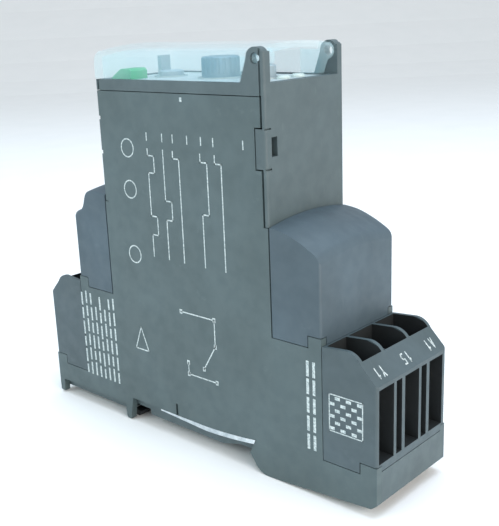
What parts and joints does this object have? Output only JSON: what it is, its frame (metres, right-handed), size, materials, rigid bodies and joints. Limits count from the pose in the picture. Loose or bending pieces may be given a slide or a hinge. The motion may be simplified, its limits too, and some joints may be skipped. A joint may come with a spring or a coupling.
{
  "type": "industrial control relay",
  "caption": "Plug-on timing relay for a 35 mm rail: slim moulded case, clear flip cover over dial, selectors and button, screw terminals with wire entries at both ends.",
  "frame": {"origin": "middle of the body's length and width, on the seat that rests on the rail's flanges", "axes": "+X along the body towards the end with terminals A1, 15 and Y1, +Y across the width away from the clip-in side panel, +Z away from the rail"},
  "size_m": [0.09, 0.0226, 0.0808],
  "materials": {
    "housing_plastic": "fine moulded grain",
    "cap_plastic": "fine moulded grain",
    "terminal_plastic": "fine moulded grain",
    "clear_cover": "clear, polished",
    "front_plastic": "satin",
    "dial_plastic": "satin",
    "selector_plastic": "satin",
    "button_plastic": "satin",
    "lens_plastic": "clear, diffusing",
    "zinc_steel": "zinc plated",
    "spring_steel": "polished strip",
    "clip_plastic": "fine moulded grain",
    "tinned_copper": "tin plated",
    "circuit_board": "solder resist",
    "black_moulding": "satin",
    "switch_moulding": "satin",
    "capacitor_sleeve": "shrink sleeve",
    "film_box": "potted box",
    "ceramic_coat": "dipped lacquer",
    "led_lens": "diffused epoxy",
    "relay_shell": "smooth",
    "coil_wire": "enamelled",
    "soft_iron": "bright",
    "contact_alloy": "bright"
  },
  "bodies": {
    "housing": {"main_housing": "housing_plastic", "side_panel": "housing_plastic", "shoulder_cap_a": "cap_plastic", "shoulder_cap_b": "cap_plastic", "terminal_block_a": "terminal_plastic", "terminal_block_b": "terminal_plastic", "bezel": "housing_plastic", "front_panel": "front_plastic", "status_lenses": "lens_plastic", "main_board": "circuit_board", "front_board": "circuit_board", "board_header": "black_moulding", "time_potentiometer": "switch_moulding", "range_switch": "switch_moulding", "function_switch": "switch_moulding", "push_switch": "black_moulding", "status_leds": "led_lens", "smoothing_capacitor": "capacitor_sleeve", "film_capacitor": "film_box", "varistor": "ceramic_coat", "choke": "coil_wire", "controller_chip": "black_moulding", "bridge_rectifier": "black_moulding", "relay_base": "relay_shell", "relay_case": "relay_shell", "relay_bobbin": "selector_plastic", "relay_winding": "coil_wire", "relay_core": "soft_iron", "relay_yoke": "soft_iron", "relay_fixed_contacts": "contact_alloy", "rail_spring": "spring_steel", "contact_bar_y1": "tinned_copper", "contact_bar_15": "tinned_copper", "contact_bar_a1": "tinned_copper", "contact_bar_18": "tinned_copper", "contact_bar_16": "tinned_copper", "contact_bar_a2": "tinned_copper"},
    "cover": {"flip_cover": "clear_cover"},
    "dial": {"time_dial": "dial_plastic"},
    "range_knob": {"range_selector": "selector_plastic"},
    "function_knob": {"function_selector": "selector_plastic"},
    "button": {"diagnostic_button": "button_plastic"},
    "clip": {"rail_clip": "clip_plastic"},
    "armature": {"relay_armature": "soft_iron", "relay_moving_contact": "contact_alloy"},
    "screw_y1": {"clamp_screw_y1": "zinc_steel"},
    "cage_y1": {"clamp_cage_y1": "zinc_steel"},
    "screw_15": {"clamp_screw_15": "zinc_steel"},
    "cage_15": {"clamp_cage_15": "zinc_steel"},
    "screw_a1": {"clamp_screw_a1": "zinc_steel"},
    "cage_a1": {"clamp_cage_a1": "zinc_steel"},
    "screw_18": {"clamp_screw_18": "zinc_steel"},
    "cage_18": {"clamp_cage_18": "zinc_steel"},
    "screw_16": {"clamp_screw_16": "zinc_steel"},
    "cage_16": {"clamp_cage_16": "zinc_steel"},
    "screw_a2": {"clamp_screw_a2": "zinc_steel"},
    "cage_a2": {"clamp_cage_a2": "zinc_steel"}
  },
  "joints": [
    {"name": "cover_hinge", "type": "hinge", "parent": "housing", "child": "cover", "pos_m": [0.0204, 0, 0.075], "axis": [0, 1, 0], "range_deg": [0, 105]},
    {"name": "dial_turn", "type": "hinge", "parent": "housing", "child": "dial", "pos_m": [0.002, 0, 0.07075], "axis": [0, 0, 1], "range_deg": [-140, 140]},
    {"name": "range_turn", "type": "hinge", "parent": "housing", "child": "range_knob", "pos_m": [-0.0119, 0, 0.07075], "axis": [0, 0, 1], "range_deg": [-135, 135]},
    {"name": "function_turn", "type": "hinge", "parent": "housing", "child": "function_knob", "pos_m": [0.0124, 0, 0.07075], "axis": [0, 0, 1], "range_deg": [-135, 135]},
    {"name": "button_press", "type": "slide", "parent": "housing", "child": "button", "axis": [0, 0, -1], "range_m": [0, 0.0008], "stiffness_N_per_m": 400},
    {"name": "clip_pull", "type": "slide", "parent": "housing", "child": "clip", "axis": [-1, 0, 0], "range_m": [0, 0.0025], "stiffness_N_per_m": 2000},
    {"name": "armature_rock", "type": "hinge", "parent": "housing", "child": "armature", "pos_m": [-0.008, 0.00345, 0.0186], "axis": [-1, 0, 0], "range_deg": [0, 4], "stiffness_Nm_per_rad": 0.02},
    {"name": "screw_turn_y1", "type": "hinge", "parent": "housing", "child": "screw_y1", "pos_m": [0.03807, -0.00835, 0.022], "axis": [0, 0, -1], "range_deg": [0, 1441]},
    {"name": "cage_rise_y1", "type": "slide", "parent": "housing", "child": "cage_y1", "axis": [0, 0, 1], "range_m": [0, 0.0018]},
    {"name": "screw_turn_15", "type": "hinge", "parent": "housing", "child": "screw_15", "pos_m": [0.03807, -0.0003, 0.022], "axis": [0, 0, -1], "range_deg": [0, 1441]},
    {"name": "cage_rise_15", "type": "slide", "parent": "housing", "child": "cage_15", "axis": [0, 0, 1], "range_m": [0, 0.0018]},
    {"name": "screw_turn_a1", "type": "hinge", "parent": "housing", "child": "screw_a1", "pos_m": [0.03807, 0.00775, 0.022], "axis": [0, 0, -1], "range_deg": [0, 1441]},
    {"name": "cage_rise_a1", "type": "slide", "parent": "housing", "child": "cage_a1", "axis": [0, 0, 1], "range_m": [0, 0.0018]},
    {"name": "screw_turn_18", "type": "hinge", "parent": "housing", "child": "screw_18", "pos_m": [-0.03807, -0.00775, 0.022], "axis": [0, 0, -1], "range_deg": [0, 1441]},
    {"name": "cage_rise_18", "type": "slide", "parent": "housing", "child": "cage_18", "axis": [0, 0, 1], "range_m": [0, 0.0018]},
    {"name": "screw_turn_16", "type": "hinge", "parent": "housing", "child": "screw_16", "pos_m": [-0.03807, 0.0003, 0.022], "axis": [0, 0, -1], "range_deg": [0, 1441]},
    {"name": "cage_rise_16", "type": "slide", "parent": "housing", "child": "cage_16", "axis": [0, 0, 1], "range_m": [0, 0.0018]},
    {"name": "screw_turn_a2", "type": "hinge", "parent": "housing", "child": "screw_a2", "pos_m": [-0.03807, 0.00835, 0.022], "axis": [0, 0, -1], "range_deg": [0, 1441]},
    {"name": "cage_rise_a2", "type": "slide", "parent": "housing", "child": "cage_a2", "axis": [0, 0, 1], "range_m": [0, 0.0018]}
  ],
  "couplings": [
    {"joint": "screw_turn_y1", "follows": "cage_rise_y1", "rad_per_m": 13963},
    {"joint": "screw_turn_15", "follows": "cage_rise_15", "rad_per_m": 13963},
    {"joint": "screw_turn_a1", "follows": "cage_rise_a1", "rad_per_m": 13963},
    {"joint": "screw_turn_18", "follows": "cage_rise_18", "rad_per_m": 13963},
    {"joint": "screw_turn_16", "follows": "cage_rise_16", "rad_per_m": 13963},
    {"joint": "screw_turn_a2", "follows": "cage_rise_a2", "rad_per_m": 13963}
  ]
}
